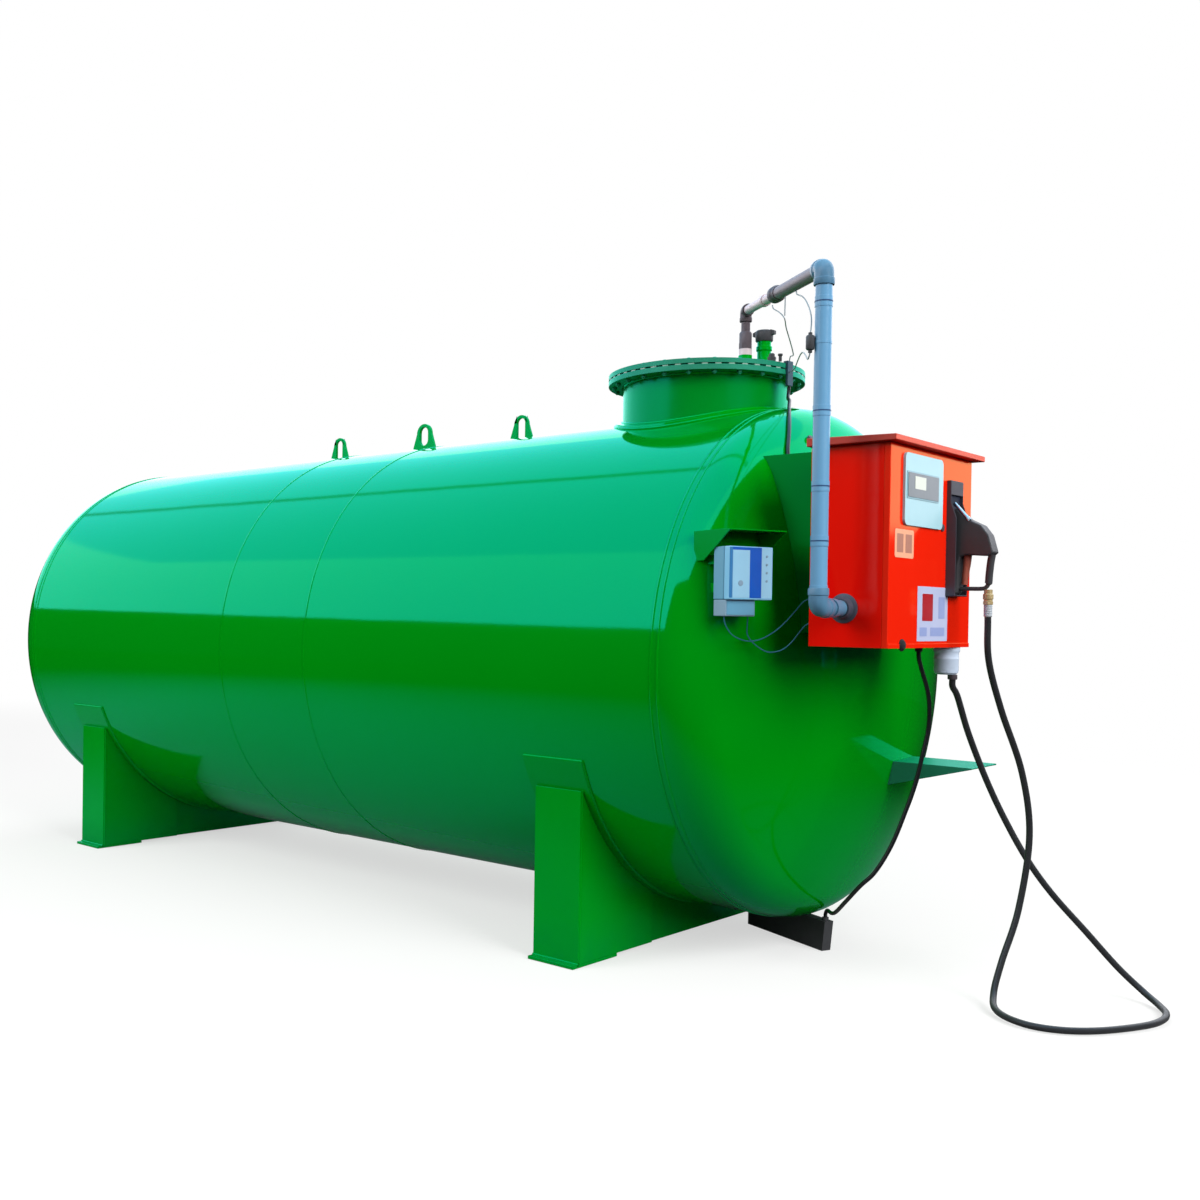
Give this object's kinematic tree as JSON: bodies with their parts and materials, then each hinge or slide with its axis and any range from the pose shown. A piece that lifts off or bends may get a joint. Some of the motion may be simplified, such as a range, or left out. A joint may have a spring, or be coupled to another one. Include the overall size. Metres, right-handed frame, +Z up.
{
  "type": "double-walled fuel tank",
  "caption": "Green horizontal double-walled fuel tank on saddles, with a red dispensing cabinet, nozzle and hose at its front head",
  "frame": {"origin": "on the ground under the middle of the whole length, from the rear head to the nozzle, on the tank's own centre plane", "axes": "+X along the tank towards the dispensing cabinet, +Y across it, away from the suction pipe's side, +Z up"},
  "size_m": [5.7036, 1.8998, 2.43],
  "materials": {
    "tank_paint": "gloss green enamel",
    "inner_steel": "bare mill steel",
    "saddle_paint": "gloss green enamel",
    "gasket_rubber": "matte",
    "black_plastic": "matte",
    "galvanized_pipe": "dull zinc",
    "pipe_plastic": "satin blue-grey",
    "cabinet_paint": "gloss red enamel",
    "panel_plastic": "satin pale",
    "bright_steel": "bright",
    "lever_plastic": "satin",
    "brass": "dull",
    "filter_paint": "satin pale",
    "black_rubber": "matte"
  },
  "bodies": {
    "root": {"outer_shell_front": "tank_paint", "outer_shell_middle": "tank_paint", "outer_shell_rear": "tank_paint", "front_head": "tank_paint", "rear_head": "tank_paint", "inner_shell": "inner_steel", "inner_heads": "inner_steel", "wall_spacers": "inner_steel", "front_saddle_webs": "saddle_paint", "front_saddle_side_plates": "saddle_paint", "front_saddle_end_plates": "saddle_paint", "front_saddle_feet": "saddle_paint", "front_wear_plate": "saddle_paint", "rear_saddle_webs": "saddle_paint", "rear_saddle_side_plates": "saddle_paint", "rear_saddle_end_plates": "saddle_paint", "rear_saddle_feet": "saddle_paint", "rear_wear_plate": "saddle_paint", "manway_neck": "tank_paint", "manway_collar": "tank_paint", "manway_flange": "tank_paint", "manway_gasket": "gasket_rubber", "manway_cover": "tank_paint", "rear_lifting_lug": "tank_paint", "middle_lifting_lug": "tank_paint", "front_lifting_lug": "tank_paint", "fill_valve": "tank_paint", "fill_cap": "black_plastic", "suction_riser": "galvanized_pipe", "steel_suction_pipe": "galvanized_pipe", "plastic_suction_pipe": "pipe_plastic", "down_pipe": "pipe_plastic", "pipe_couplings": "pipe_plastic", "cabinet_stub": "pipe_plastic", "wall_boss": "gasket_rubber", "cabinet_case": "cabinet_paint", "cabinet_front": "cabinet_paint", "cabinet_roof": "cabinet_paint", "cabinet_brackets": "tank_paint", "display_panel": "panel_plastic", "nozzle_boot": "black_plastic", "nozzle": "black_plastic", "nozzle_spout": "bright_steel", "nozzle_lever": "lever_plastic", "hose_swivel": "brass", "filter": "filter_paint", "cable_gland": "gasket_rubber", "supply_cable": "black_rubber", "cable_box": "black_plastic", "delivery_hose": "black_rubber", "rim_clip": "black_plastic", "crown_cable": "black_rubber", "sensor_cables": "black_rubber", "level_sensor": "black_plastic", "detector_case": "panel_plastic", "detector_terminals": "panel_plastic", "detector_hood": "tank_paint", "detector_wires": "black_rubber", "shelf": "tank_paint"}
  },
  "joints": []
}
